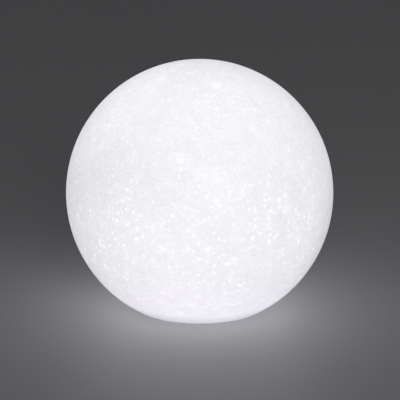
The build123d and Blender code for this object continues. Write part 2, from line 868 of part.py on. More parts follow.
with BuildPart() as battery_tray:
    with BuildSketch(Plane.XY.offset(tray_z)):
        Rectangle(cell_length + 1.0, tray_width)
        chamfer(vertices(), tray_corner)
        Rectangle(clamp_width, 2 * clamp_reach)
        with Locations((-tray_post_x, 0), (tray_post_x, 0)):
            Circle(tray_ear_radius)
            Circle(small_screw_radius + screw_clearance, mode=Mode.SUBTRACT)
    extrude(amount=tray_thickness)
    # Raised seats of the clamp's feet, and ribs that cradle the cells
    for side in (-1, 1):
        with BuildSketch(Plane.XY.offset(tray_z + tray_thickness)):
            with Locations((0, side * (clamp_reach + tray_width / 2 + 0.6) / 2)):
                Rectangle(clamp_width, clamp_reach - tray_width / 2 - 0.6)
        extrude(amount=clamp_foot_z - tray_z - tray_thickness)
    with BuildSketch(Plane.XY.offset(tray_z + tray_thickness)):
        with GridLocations(0.37 * cell_length, 1, 3, 1):
            Rectangle(cradle_width, tray_width)
    extrude(amount=0.75 * cell_radius)
    with BuildSketch(Plane.YZ.offset(-cell_length / 2)):
        with Locations((-cell_pitch / 2, cell_z), (cell_pitch / 2, cell_z)):
            Circle(cell_radius + cradle_clearance)
    extrude(amount=cell_length, mode=Mode.SUBTRACT)
    with BuildSketch(Plane.XY.offset(tray_z)):
        with Locations((0, -clamp_screw_y), (0, clamp_screw_y)):
            Circle(small_screw_radius + thread_clearance)
    extrude(amount=clamp_foot_z - tray_z, mode=Mode.SUBTRACT)
battery_tray.part.label = "battery_tray"
export_step(battery_tray.part, "parts/battery_tray.step")

with BuildPart() as tray_screws:
    with Locations((-tray_post_x, 0, tray_z + tray_thickness), (tray_post_x, 0, tray_z + tray_thickness)):
        add(small_screw)
tray_screws.part.label = "tray_screws"
export_step(tray_screws.part, "parts/tray_screws.step")


def battery_cell(direction):
    """A round cell along X whose raised terminal points along X times `direction`."""
    with BuildPart() as cell:
        with BuildSketch(Plane.YZ.offset(-direction * cell_length / 2)):
            with Locations((direction * cell_pitch / 2, cell_z)):
                Circle(cell_radius)
        extrude(amount=direction * (cell_length - terminal_height))
        fillet(edges(), cell_rounding)
        with BuildSketch(Plane.YZ.offset(direction * cell_length / 2)):
            with Locations((direction * cell_pitch / 2, cell_z)):
                Circle(terminal_radius)
        extrude(amount=-direction * 2 * terminal_height)
    return cell.part


with BuildPart() as rear_cell:
    add(battery_cell(1))
rear_cell.part.label = "rear_cell"
export_step(rear_cell.part, "parts/rear_cell.step")

with BuildPart() as front_cell:
    add(battery_cell(-1))
front_cell.part.label = "front_cell"
export_step(front_cell.part, "parts/front_cell.step")

tab_outer_y = cell_pitch / 2 + 4.0

with BuildPart() as cell_tabs:
    # One strip joins the cells at -X, and one on each cell at +X takes a lead
    with BuildSketch(Plane.YZ.offset(-cell_length / 2)):
        with Locations((0, cell_z)):
            Rectangle(2 * tab_outer_y, tab_width)
    extrude(amount=-tab_thickness)
    with BuildSketch(Plane.YZ.offset(cell_length / 2)):
        with Locations((0, cell_z)):
            with GridLocations(tab_inner_y + tab_outer_y, 1, 2, 1):
                Rectangle(tab_outer_y - tab_inner_y, tab_width)
    extrude(amount=tab_thickness)
cell_tabs.part.label = "cell_tabs"
export_step(cell_tabs.part, "parts/cell_tabs.step")

with BuildPart() as battery_clamp:
    clamp_inner = tray_width / 2 + clamp_clearance
    clamp_outer = clamp_inner + clamp_metal
    clamp_room = clamp_top - clamp_metal - clamp_foot_z
    standing = (Align.CENTER, Align.MIN)
    with BuildSketch(Plane.YZ.offset(-clamp_width / 2)):
        with Locations((0, clamp_foot_z)):
            Rectangle(2 * clamp_outer, clamp_top - clamp_foot_z, align=standing)
            Rectangle(2 * clamp_reach, clamp_metal, align=standing)
            Rectangle(2 * clamp_inner, clamp_room, align=standing, mode=Mode.SUBTRACT)
    extrude(amount=clamp_width)
    with BuildSketch(Plane.XY.offset(clamp_foot_z)):
        with Locations((0, -clamp_screw_y), (0, clamp_screw_y)):
            Circle(small_screw_radius + screw_clearance)
    extrude(amount=clamp_metal, mode=Mode.SUBTRACT)
battery_clamp.part.label = "battery_clamp"
export_step(battery_clamp.part, "parts/battery_clamp.step")

with BuildPart() as clamp_screws:
    foot_top = clamp_foot_z + clamp_metal
    with Locations((0, -clamp_screw_y, foot_top), (0, clamp_screw_y, foot_top)):
        add(small_screw)
clamp_screws.part.label = "clamp_screws"
export_step(clamp_screws.part, "parts/clamp_screws.step")

# --- Control board ---------------------------------------------------------------------------------

board_top = board_z + board_thickness

with BuildPart() as control_board:
    with BuildSketch(Plane.XY.offset(board_z)):
        Circle(board_radius)
        Rectangle(2 * board_radius, 2 * board_flat, mode=Mode.INTERSECT)
        with PolarLocations(column_circle, column_count, start_angle=column_angle):
            Circle(cover_screw_radius + cover_screw_clearance, mode=Mode.SUBTRACT)
    extrude(amount=board_thickness)
control_board.part.label = "control_board"
export_step(control_board.part, "parts/control_board.step")

with BuildPart() as controller_chip:
    with BuildSketch(Plane.XY.offset(board_top)):
        with Locations(chip_place):
            Rectangle(chip_length, chip_width)
    extrude(amount=chip_height)
    with BuildSketch(Plane.XY.offset(board_top)):
        with Locations(chip_place):
            with GridLocations(chip_leg_pitch, chip_leg_span, chip_legs, 2):
                Rectangle(chip_leg_width, chip_leg_length)
    extrude(amount=chip_leg_height)
controller_chip.part.label = "controller_chip"
export_step(controller_chip.part, "parts/controller_chip.step")

with BuildPart() as board_capacitors:
    with BuildSketch(Plane.XY.offset(board_top)):
        with Locations(*capacitor_places):
            Circle(capacitor_radius)
    extrude(amount=capacitor_height)
    fillet(faces().filter_by(Plane.XY).sort_by(Axis.Z)[-2:].edges(), capacitor_rounding)
board_capacitors.part.label = "board_capacitors"
export_step(board_capacitors.part, "parts/board_capacitors.step")

with BuildPart() as charge_coil:
    with BuildSketch(Plane.XY.offset(board_top)):
        with Locations(charge_coil_place):
            RectangleRounded(charge_coil_size, charge_coil_size, charge_coil_corner)
    extrude(amount=charge_coil_height)
charge_coil.part.label = "charge_coil"
export_step(charge_coil.part, "parts/charge_coil.step")

with BuildPart() as lead_plugs:
    # Under the board: charging socket and switch, then the battery. Above it: the light source
    with BuildSketch(Plane.XY.offset(board_z)):
        with Locations((0, lead_y), (switch_board_x, -lead_y)):
            Rectangle(lead_pitch + 2 * plug_side, plug_depth)
        with Locations((cell_length / 2 + tab_thickness + lead_radius, 0)):
            Rectangle(plug_depth, 2 * tab_inner_y + 2 * plug_side)
    extrude(amount=-plug_drop)
    with BuildSketch(Plane.XY.offset(board_top)):
        with Locations((0, led_slot_y)):
            Rectangle(lead_pitch + 2 * plug_side, plug_depth)
    extrude(amount=plug_drop)
lead_plugs.part.label = "lead_plugs"
export_step(lead_plugs.part, "parts/lead_plugs.step")

with BuildPart() as standoff:
    with BuildSketch(Plane.XY.offset(board_top)):
        RegularPolygon(standoff_width / 2, 6, major_radius=False)
    extrude(amount=deck_z - board_top)
    with BuildSketch(Plane.XY.offset(board_top)):
        Circle(cover_screw_radius)
    extrude(amount=-board_thickness - short_pilot_depth)
    with BuildSketch(Plane.XY.offset(deck_z)):
        Circle(cover_screw_radius + thread_clearance)
    extrude(amount=-standoff_hole_depth, mode=Mode.SUBTRACT)

with BuildPart() as board_standoffs:
    with PolarLocations(column_circle, column_count, start_angle=column_angle):
        add(standoff.part)
board_standoffs.part.label = "board_standoffs"
export_step(board_standoffs.part, "parts/board_standoffs.step")

# --- Light source ------------------------------------------------------------------------------------

with BuildPart() as heat_deck:
    with BuildSketch(Plane.XY.offset(deck_z)):
        Circle(cup_bore - deck_clearance)
        with PolarLocations(column_circle, column_count, start_angle=column_angle):
            Circle(cover_screw_radius + cover_screw_clearance, mode=Mode.SUBTRACT)
        with PolarLocations(led_board_screw_circle, led_screw_count, start_angle=led_screw_angle):
            Circle(small_screw_radius + thread_clearance, mode=Mode.SUBTRACT)
        with Locations((0, led_slot_y)):
            RectangleRounded(lead_pitch + 2 * slot_side, slot_width, slot_corner, mode=Mode.SUBTRACT)
    extrude(amount=deck_thickness)
heat_deck.part.label = "heat_deck"
export_step(heat_deck.part, "parts/heat_deck.step")

with BuildPart() as led_board:
    with BuildSketch(Plane.XY.offset(led_board_z)):
        Circle(led_board_radius)
        with PolarLocations(led_board_screw_circle, led_screw_count, start_angle=led_screw_angle):
            Circle(small_screw_radius + screw_clearance, mode=Mode.SUBTRACT)
        with Locations((0, led_slot_y)):
            RectangleRounded(lead_pitch + 2 * slot_side, slot_width, slot_corner, mode=Mode.SUBTRACT)
    extrude(amount=board_thickness)
led_board.part.label = "led_board"
export_step(led_board.part, "parts/led_board.step")

short_screw = machine_screw(small_screw_radius, short_screw_length, small_head_radius, small_head_height)
with BuildPart() as led_board_screws:
    with Locations((0, 0, led_top)):
        with PolarLocations(led_board_screw_circle, led_screw_count, start_angle=led_screw_angle):
            add(short_screw)
led_board_screws.part.label = "led_board_screws"
export_step(led_board_screws.part, "parts/led_board_screws.step")

outer_led_circle = led_board_radius - led_size - 1.5
led_window_radius = 0.42 * led_size

with BuildPart() as led_emitters:
    with BuildSketch(Plane.XY.offset(led_top)):
        with PolarLocations(outer_led_circle, outer_leds, start_angle=10):
            Rectangle(led_size, led_size)
        with PolarLocations(inner_led_circle, inner_leds, start_angle=30):
            Rectangle(led_size, led_size)
    extrude(amount=led_height)
    with BuildSketch(Plane.XY.offset(led_top + led_height)):
        with PolarLocations(outer_led_circle, outer_leds, start_angle=10):
            Circle(led_window_radius)
        with PolarLocations(inner_led_circle, inner_leds, start_angle=30):
            Circle(led_window_radius)
    extrude(amount=-led_window_depth, mode=Mode.SUBTRACT)
led_emitters.part.label = "led_emitters"
export_step(led_emitters.part, "parts/led_emitters.step")

with BuildPart() as remote_receiver:
    with BuildSketch(Plane.XY.offset(led_top)):
        Rectangle(receiver_width, receiver_depth)
    extrude(amount=receiver_height)
    with BuildSketch(Plane.XZ.offset(receiver_depth / 2)):
        with Locations((0, led_top + receiver_lens_rise)):
            Circle(receiver_lens_radius)
    extrude(amount=receiver_lens_depth)
remote_receiver.part.label = "remote_receiver"
export_step(remote_receiver.part, "parts/remote_receiver.step")

with BuildPart() as dome_seal:
    add(flat_ring(cup_top, dome_seal_thickness, cup_radius, cup_bore + 0.1))
dome_seal.part.label = "dome_seal"
export_step(dome_seal.part, "parts/dome_seal.step")


with BuildPart() as diffuser_dome:
    with BuildSketch(Plane.XZ):
        with BuildLine():
            inner_radius = dome_radius - dome_wall
            inner_rise = dome_rise + dome_flange_thickness - dome_wall
            cap_arc(dome_flange_top, dome_radius, dome_rise)
            Polyline(
                (dome_radius, dome_flange_top),
                (cup_radius, dome_flange_top),
                (cup_radius, dome_z),
                (inner_radius, dome_z),
            )
            cap_arc(dome_z, inner_radius, inner_rise)
            Line((0, dome_z + inner_rise), (0, dome_flange_top + dome_rise))
        make_face()
    revolve(axis=Axis.Z)
    # Pads that rest on the deck, and the screw holes through them
    with BuildSketch(Plane.XY.offset(dome_z)):
        with PolarLocations(column_circle, column_count, start_angle=column_angle):
            Circle(dome_pad_radius)
    extrude(amount=-(dome_z - led_board_z))
    with BuildSketch(Plane.XY.offset(led_board_z)):
        with PolarLocations(column_circle, column_count, start_angle=column_angle):
            Circle(cover_screw_radius + cover_screw_clearance)
    extrude(amount=dome_flange_top - led_board_z, mode=Mode.SUBTRACT)
diffuser_dome.part.label = "diffuser_dome"
export_step(diffuser_dome.part, "parts/diffuser_dome.step")

dome_screw = machine_screw(cover_screw_radius, cover_screw_length, cover_head_radius, cover_head_height)
with BuildPart() as dome_screws:
    with Locations((0, 0, dome_flange_top)):
        with PolarLocations(column_circle, column_count, start_angle=column_angle):
            add(dome_screw)
dome_screws.part.label = "dome_screws"
export_step(dome_screws.part, "parts/dome_screws.step")

# --- Wires inside the lamp unit --------------------------------------------------------------------------

tag_mid = socket_back + tag_height / 2
charge_route = [(socket_y + tag_thickness / 2, tag_mid), (lead_y, tag_mid), (lead_y, lead_stop)]
with BuildPart() as charge_leads:
    add(lead_pair(0, charge_route, lead_bend))
charge_leads.part.label = "charge_leads"
export_step(charge_leads.part, "parts/charge_leads.step")

switch_edge = switch_board_y - switch_board_width / 2
switch_lead_z = switch_board_z + board_thickness / 2
switch_route = [(switch_edge, switch_lead_z), (-lead_y, switch_lead_z), (-lead_y, lead_stop)]
with BuildPart() as switch_leads:
    add(lead_pair(switch_board_x, switch_route, 0.8 * (lead_y + switch_edge)))
switch_leads.part.label = "switch_leads"
export_step(switch_leads.part, "parts/switch_leads.step")

with BuildPart() as battery_leads:
    # Each stands against its cell's strip and runs straight up into the plug
    with BuildSketch(Plane.XY.offset(cell_z - 2.0)):
        with Locations((cell_length / 2 + tab_thickness + lead_radius, 0)):
            with GridLocations(1, 2 * tab_inner_y + 2.0, 1, 2):
                Circle(lead_radius)
    extrude(amount=lead_stop - cell_z + 2.0)
battery_leads.part.label = "battery_leads"
export_step(battery_leads.part, "parts/battery_leads.step")

led_lead_end = led_slot_y + led_lead_reach
pad_height = led_top + lead_radius
led_route = [(led_slot_y, board_top + plug_drop), (led_slot_y, pad_height), (led_lead_end, pad_height)]
with BuildPart() as led_leads:
    add(lead_pair(0, led_route, led_lead_bend))
led_leads.part.label = "led_leads"
export_step(led_leads.part, "parts/led_leads.step")
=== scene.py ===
"""Floating pool light: its lit globe, raised marks, finishes and stage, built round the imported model.

Metres, in the model's own frame: the origin is the centre of the flat foot, +Z is up and -Y is the front.
"""

import math

import bpy
import numpy as np
from bpy.props import FloatProperty, FloatVectorProperty, IntProperty, PointerProperty
from bpy.types import Operator, Panel, PropertyGroup
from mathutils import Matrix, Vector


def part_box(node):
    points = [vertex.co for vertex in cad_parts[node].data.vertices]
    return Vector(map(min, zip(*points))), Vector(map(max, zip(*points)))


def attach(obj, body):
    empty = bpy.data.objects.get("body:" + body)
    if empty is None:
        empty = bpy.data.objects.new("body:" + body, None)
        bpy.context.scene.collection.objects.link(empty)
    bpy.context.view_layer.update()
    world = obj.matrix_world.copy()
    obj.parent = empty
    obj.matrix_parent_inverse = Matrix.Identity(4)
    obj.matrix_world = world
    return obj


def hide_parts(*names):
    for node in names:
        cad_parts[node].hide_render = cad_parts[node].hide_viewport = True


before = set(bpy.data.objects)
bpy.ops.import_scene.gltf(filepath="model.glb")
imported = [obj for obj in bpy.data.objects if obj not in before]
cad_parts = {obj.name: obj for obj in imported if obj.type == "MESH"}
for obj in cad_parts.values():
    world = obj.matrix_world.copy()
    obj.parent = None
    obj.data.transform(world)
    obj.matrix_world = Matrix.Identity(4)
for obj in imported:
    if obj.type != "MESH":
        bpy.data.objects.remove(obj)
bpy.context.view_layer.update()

bl_info = {
    "name": "Floating pool light",
    "version": (1, 0, 0),
    "blender": (4, 5, 0),
    "location": "3D View > Sidebar > Pool light",
    "description": "Builds the lit globe, raised marks, finishes and stage of a floating pool light",
    "category": "Add Mesh",
}

SHELL_LOW, SHELL_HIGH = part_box("globe_shell")
BUTTON_LOW, BUTTON_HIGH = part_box("button_cap")
FLAP_LOW, FLAP_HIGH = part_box("port_flap")
GLOBE_RADIUS = round((SHELL_HIGH.x - SHELL_LOW.x) / 2, 4)
GLOBE_TOP = SHELL_HIGH.z
MM = 0.001


# --- Sizes and colours ---------------------------------------------------------------


class GlobeSettings(PropertyGroup):
    """The moulded globe and how it glows."""

    radius: FloatProperty(
        name="Radius", description="Outer radius of the globe", default=GLOBE_RADIUS, unit="LENGTH"
    )
    wall: FloatProperty(
        name="Wall",
        description="Thickness of the moulded wall",
        default=3 * MM,
        unit="LENGTH",
    )
    edge: FloatProperty(
        name="Foot edge",
        description="Radius of the rounding round the foot",
        default=6 * MM,
        unit="LENGTH",
    )
    recess_radius: FloatProperty(
        name="Recess radius",
        description="Radius of the recess under the globe",
        default=56 * MM,
        unit="LENGTH",
    )
    recess_depth: FloatProperty(
        name="Recess depth",
        description="Ground to the underside of the ledge",
        default=9 * MM,
        unit="LENGTH",
    )
    mouth_radius: FloatProperty(
        name="Mouth radius",
        description="Radius of the hole that the lamp unit fills",
        default=42 * MM,
        unit="LENGTH",
    )
    screws: IntProperty(
        name="Screws",
        description="Number of screws and bosses on the ledge",
        default=6,
        min=2,
    )
    screw_circle: FloatProperty(
        name="Screw circle",
        description="Radius of the circle of bosses",
        default=49 * MM,
        unit="LENGTH",
    )
    boss_radius: FloatProperty(
        name="Boss radius", description="Outer radius of a boss", default=6.5 * MM, unit="LENGTH"
    )
    boss_rounding: FloatProperty(
        name="Boss rounding",
        description="Radius of a boss's top edge",
        default=1.2 * MM,
        unit="LENGTH",
    )
    boss_top: FloatProperty(
        name="Boss top",
        description="Height of a boss's top",
        default=22.3 * MM,
        unit="LENGTH",
    )
    bore_radius: FloatProperty(
        name="Bore radius",
        description="Radius of the hole round an insert",
        default=3.2 * MM,
        unit="LENGTH",
    )
    bore_top: FloatProperty(
        name="Bore top",
        description="Height where the hole ends",
        default=20 * MM,
        unit="LENGTH",
    )
    ledge: FloatProperty(
        name="Ledge",
        description="Thickness of the ledge round the mouth",
        default=3.5 * MM,
        unit="LENGTH",
    )
    segments: IntProperty(name="Segments", description="Faces round the globe", default=288, min=24)
    rings: IntProperty(
        name="Rings",
        description="Rings of points over the outside, from the top to the foot's edge",
        default=165,
        min=24,
    )
    boss_segments: IntProperty(
        name="Boss segments", description="Faces round a boss", default=48, min=12
    )
    unevenness: FloatProperty(
        name="Unevenness",
        description="How far the moulded skin wanders",
        default=0.12 * MM,
        unit="LENGTH",
    )
    colour: FloatVectorProperty(
        name="Wall colour",
        description="Colour of the unlit wall",
        subtype="COLOR",
        default=(0.86, 0.855, 0.9),
        size=3,
    )
    glow_colour: FloatVectorProperty(
        name="Glow colour",
        description="Colour of the light",
        subtype="COLOR",
        default=(0.975, 0.955, 1.0),
        size=3,
    )
    glow: FloatProperty(
        name="Glow",
        description="Strength of the light from the wall",
        default=0.715,
        min=0.0,
    )


class MarkSettings(PropertyGroup):
    """The raised marks on the button and the charging flap."""

    stroke: FloatProperty(
        name="Stroke",
        description="Width of a raised line",
        default=0.6 * MM,
        unit="LENGTH",
    )
    height: FloatProperty(
        name="Height",
        description="How far a line stands up",
        default=0.14 * MM,
        unit="LENGTH",
    )
    ring_radius: FloatProperty(
        name="Power ring",
        description="Radius of the power mark's ring",
        default=2.5 * MM,
        unit="LENGTH",
    )
    bolt_height: FloatProperty(
        name="Charging mark",
        description="Height of the charging mark",
        default=6.4 * MM,
        unit="LENGTH",
    )


class HousingSettings(PropertyGroup):
    """Colours of the lamp unit's outside."""

    base_colour: FloatVectorProperty(
        name="Base",
        description="Colour of the lamp unit's body",
        subtype="COLOR",
        default=(0.78, 0.78, 0.8),
        size=3,
    )
    flap_colour: FloatVectorProperty(
        name="Flap",
        description="Colour of the charging flap",
        subtype="COLOR",
        default=(0.6, 0.6, 0.63),
        size=3,
    )
    button_colour: FloatVectorProperty(
        name="Button",
        description="Colour of the power button",
        subtype="COLOR",
        default=(0.3, 0.32, 0.35),
        size=3,
    )
    seal_colour: FloatVectorProperty(
        name="Seals",
        description="Colour of the silicone seals",
        subtype="COLOR",
        default=(0.3, 0.31, 0.33),
        size=3,
    )


class StageSettings(PropertyGroup):
    """The floor, the lights and the camera."""

    floor_radius: FloatProperty(
        name="Floor radius",
        description="Radius of the flat part of the floor",
        default=4.2,
        unit="LENGTH",
    )
    floor_bend: FloatProperty(
        name="Floor bend",
        description="Radius of the curve between the floor and its wall",
        default=1.5,
        unit="LENGTH",
    )
    floor_top: FloatProperty(
        name="Wall top", description="Height of the wall round the floor", default=3.2, unit="LENGTH"
    )
    floor_segments: IntProperty(
        name="Floor segments", description="Faces round the floor", default=96, min=24
    )
    floor_colour: FloatVectorProperty(
        name="Floor",
        description="Colour of the floor",
        subtype="COLOR",
        default=(0.5, 0.5, 0.51),
        size=3,
    )
    distance: FloatProperty(
        name="Distance", description="Camera to the globe's centre", default=2.5, unit="LENGTH"
    )
    elevation: FloatProperty(
        name="Elevation",
        description="Camera above the horizon",
        default=math.radians(14.3),
        subtype="ANGLE",
    )
    lens: FloatProperty(name="Lens", description="Focal length in millimetres", default=200.13)
    aim_drop: FloatProperty(
        name="Aim drop",
        description="How far below the globe's centre the camera looks",
        default=8.56 * MM,
        unit="LENGTH",
    )
    aim_right: FloatProperty(
        name="Aim right",
        description="How far to the right the camera stands and looks",
        default=0.37 * MM,
        unit="LENGTH",
    )
    key: FloatProperty(
        name="Main light",
        description="Power of the large soft light",
        default=14.0,
        unit="POWER",
    )
    key_size: FloatProperty(
        name="Main light size",
        description="Diameter of the large soft light",
        default=1.4,
        unit="LENGTH",
    )
    key_place: FloatVectorProperty(
        name="Main light place",
        description="Where the large soft light hangs; it points at the globe's centre",
        subtype="TRANSLATION",
        default=(0.5, -2.7, 0.9),
        size=3,
    )
    room: FloatProperty(
        name="Room light",
        description="Strength of the even light all round",
        default=0.11,
        min=0.0,
    )


# --- Meshes --------------------------------------------------------------------------


def make_mesh(name, points, quads, triangles):
    """Puts whole arrays of points, quads and triangles into a new smooth object."""
    mesh = bpy.data.meshes.new(name)
    corners = np.concatenate((quads.ravel(), triangles.ravel())).astype(np.int32)
    sizes = np.concatenate((np.full(len(quads), 4), np.full(len(triangles), 3))).astype(np.int32)
    mesh.vertices.add(len(points))
    mesh.vertices.foreach_set("co", points.astype(np.float32).ravel())
    mesh.loops.add(len(corners))
    mesh.loops.foreach_set("vertex_index", corners)
    mesh.polygons.add(len(sizes))
    mesh.polygons.foreach_set("loop_start", np.concatenate(([0], np.cumsum(sizes)[:-1])).astype(np.int32))
    mesh.polygons.foreach_set("loop_total", sizes)
    mesh.polygons.foreach_set("use_smooth", np.ones(len(sizes), bool))
    mesh.update(calc_edges=True)
    mesh.validate()
    piece = bpy.data.objects.new(name, mesh)
    bpy.context.scene.collection.objects.link(piece)
    return piece


def sphere_like(rings, first, last):
    """Points and faces of a closed skin: rings of points in order, and a point that closes each end.

    Ring k's point j joins ring k+1's point j and both points j+1, the last joining the first; each end
    point joins every neighbouring pair of the ring beside it.
    """
    count, around = rings.shape[:2]
    here = np.arange(count * around).reshape(count, around)
    beside = np.roll(here, -1, axis=1)
    quads = np.stack((here[:-1], here[1:], beside[1:], beside[:-1]), axis=-1).reshape(-1, 4)
    start, end = count * around, count * around + 1
    top = np.stack((np.full(around, start), here[0], beside[0]), axis=-1)
    foot = np.stack((here[-1], np.full(around, end), beside[-1]), axis=-1)
    points = np.concatenate((rings.reshape(-1, 3), [first], [last]))
    return points, quads, np.concatenate((top, foot))


def arc(centre, radius, start, end, count):
    """Points of a circle: the centre plus the radius times each angle's cosine and sine, in degrees."""
    turn = np.radians(np.linspace(start, end, count))
    return np.stack((centre[0] + radius * np.cos(turn), centre[1] + radius * np.sin(turn)), axis=1)


def rounded(corners, radius, count):
    """The inner corners of a right-angled line, each as a quarter circle.

    A point of the quarter circle is the corner, plus the radius times one less the sine of the angle
    along the line behind, plus the radius times one less the cosine of the angle along the line ahead.
    """
    corner = corners[1:-1, None]
    behind = corners[:-2] - corners[1:-1]
    ahead = corners[2:] - corners[1:-1]
    behind = (behind / np.linalg.norm(behind, axis=1, keepdims=True))[:, None]
    ahead = (ahead / np.linalg.norm(ahead, axis=1, keepdims=True))[:, None]
    turn = np.linspace(0, np.pi / 2, count)[None, :, None]
    bend = corner + radius * ((1 - np.sin(turn)) * behind + (1 - np.cos(turn)) * ahead)
    return bend.reshape(-1, 2)


def globe_section(globe, centre_z):
    """The wall's section as (distance from the axis, height), from the outer top to the inner top.

    The outer arc has the globe's radius and the foot's edge is an arc tangent to it and to the ground.
    The line then goes up the recess, in to the mouth, over the ledge and back down to the floor of the
    hollow. The inner arcs have the outer ones' centres and radii smaller by the wall. Both large arcs
    stop short of the axis, where an end point closes them.
    """
    outer_stop, inner_stop = 89.2, 88.5
    corner_radius = 0.25 * globe.wall
    edge_r = math.sqrt((globe.radius - globe.edge) ** 2 - (centre_z - globe.edge) ** 2)
    meeting = math.degrees(math.atan2(globe.edge - centre_z, edge_r))
    ledge_top = globe.recess_depth + globe.ledge
    back = globe.recess_radius + globe.wall
    corners = np.array(
        (
            (edge_r, 0),
            (globe.recess_radius, 0),
            (globe.recess_radius, globe.recess_depth),
            (globe.mouth_radius, globe.recess_depth),
            (globe.mouth_radius, ledge_top),
            (back, ledge_top),
            (back, globe.wall),
            (edge_r, globe.wall),
        )
    )
    outer = arc((0, centre_z), globe.radius, outer_stop, meeting, globe.rings)
    outer_edge = arc((edge_r, globe.edge), globe.edge, meeting, -90, 9)[1:]
    inner_edge = arc((edge_r, globe.edge), globe.edge - globe.wall, -90, meeting, 6)
    inner = arc((0, centre_z), globe.radius - globe.wall, meeting, inner_stop, 48)[1:]
    return np.concatenate((outer, outer_edge, rounded(corners, corner_radius, 5), inner_edge, inner))


def boss(globe, centre):
    """A hollow post on the ledge: a line (distance, height) turned about the post's own axis.

    The line runs from the post's closed top down its outside, in along the ledge's middle and up the bore
    of the insert to the bore's end.
    """
    foot = globe.recess_depth + 0.5 * globe.ledge
    reach = globe.boss_radius - globe.boss_rounding
    shoulder = arc((reach, globe.boss_top - globe.boss_rounding), globe.boss_rounding, 90, 0, 7)
    corners = np.array(
        (
            (globe.boss_radius, foot),
            (globe.bore_radius, foot),
            (globe.bore_radius, globe.bore_top),
            (0.5 * globe.bore_radius, globe.bore_top),
        )
    )
    line = np.concatenate((((0.5 * reach, globe.boss_top),), shoulder, corners))
    turn = np.linspace(0, 2 * np.pi, globe.boss_segments, endpoint=False)[None, :]
    away, height = line[:, :1], np.tile(line[:, 1:], (1, globe.boss_segments))
    rings = np.stack((centre[0] + away * np.cos(turn), centre[1] + away * np.sin(turn), height), axis=-1)
    return sphere_like(rings, (*centre, globe.boss_top), (*centre, globe.bore_top))


def stroke(path, sideways, width, height):
    """A raised line: an ellipse carried along a path, shrinking to nothing at both ends.

    A ring's point is the path's point, plus half the width times the cosine of an angle sideways, plus
    the height times its sine along Z. Both are scaled by the square root of one less the square of how
    far the ring is into its rounded end.
    """
    along = np.concatenate(([0], np.cumsum(np.linalg.norm(np.diff(path, axis=0), axis=1))))
    from_end = np.minimum(along, along[-1] - along)
    swell = np.sqrt(1 - (1 - np.clip(2 * from_end / width, 0, 1)) ** 2)[1:-1, None, None]
    turn = np.linspace(0, 2 * np.pi, 13)[:-1][None, :, None]
    up = np.array((0, 0, 1.0))
    oval = 0.5 * width * np.cos(turn) * sideways[1:-1, None] + height * np.sin(turn) * up
    return sphere_like(path[1:-1, None] + swell * oval, path[0], path[-1])


def join(shells):
    """Several closed skins as one: each one's faces count on from the points before it."""
    before = np.cumsum([0] + [len(points) for points, _, _ in shells])
    return (
        np.concatenate([points for points, _, _ in shells]),
        np.concatenate([quads + n for (_, quads, _), n in zip(shells, before)]),
        np.concatenate([triangles + n for (_, _, triangles), n in zip(shells, before)]),
    )


# --- Materials -----------------------------------------------------------------------


class Shade:
    """One node material: adds nodes, joins them and ends in one surface shader."""

    def __init__(self, name, scale=(1, 1, 1)):
        self.material = bpy.data.materials.new(name)
        self.material.use_nodes = True
        self.tree = self.material.node_tree
        self.tree.nodes.clear()
        place = self.add("ShaderNodeTexCoord").outputs["Object"]
        self.place = self.add("ShaderNodeMapping", {"Vector": place, "Scale": scale}).outputs["Vector"]

    def add(self, kind, inputs=None, **settings):
        """Adds a node; an input is a socket to join to or a constant."""
        node = self.tree.nodes.new(kind)
        for key, value in settings.items():
            setattr(node, key, value)
        for key, value in (inputs or {}).items():
            if isinstance(value, bpy.types.NodeSocket):
                self.tree.links.new(value, node.inputs[key])
            else:
                node.inputs[key].default_value = value
        return node

    def math(self, operation, a, b):
        """One arithmetic step on two values."""
        return self.add("ShaderNodeMath", {0: a, 1: b}, operation=operation).outputs[0]

    def span(self, value, from_low, from_high, low, high, smooth=True):
        """Maps one range to another and stops at its ends."""
        kind = "SMOOTHSTEP" if smooth else "LINEAR"
        sockets = {"Value": value, "From Min": from_low, "From Max": from_high}
        sockets.update({"To Min": low, "To Max": high})
        return self.add("ShaderNodeMapRange", sockets, interpolation_type=kind).outputs["Result"]

    def noise(self, scale, detail=2.0, roughness=0.5):
        """Soft random variation with `scale` waves to the metre."""
        sockets = {"Vector": self.place, "Scale": scale, "Detail": detail, "Roughness": roughness}
        return self.add("ShaderNodeTexNoise", sockets).outputs["Fac"]

    def cells(self, scale, feature="F1"):
        """Cells with `scale` to the metre, each with its own random colour."""
        return self.add("ShaderNodeTexVoronoi", {"Vector": self.place, "Scale": scale}, feature=feature)

    def blend(self, amount, a, b):
        """A colour between two, by amount."""
        node = self.add("ShaderNodeMix", {0: amount, 6: a, 7: b}, data_type="RGBA")
        return node.outputs[2]

    def finish(self, **inputs):
        """The surface shader, joined to the output; an input's spaces are written as underscores."""
        sockets = {key.replace("_", " "): value for key, value in inputs.items()}
        surface = self.add("ShaderNodeBsdfPrincipled", sockets)
        self.add("ShaderNodeOutputMaterial", {"Surface": surface.outputs[0]})
        return self.material


def rgba(colour, by=1.0):
    """A colour with its alpha, brightened or darkened."""
    return (*(min(1.0, c * by) for c in colour), 1.0)


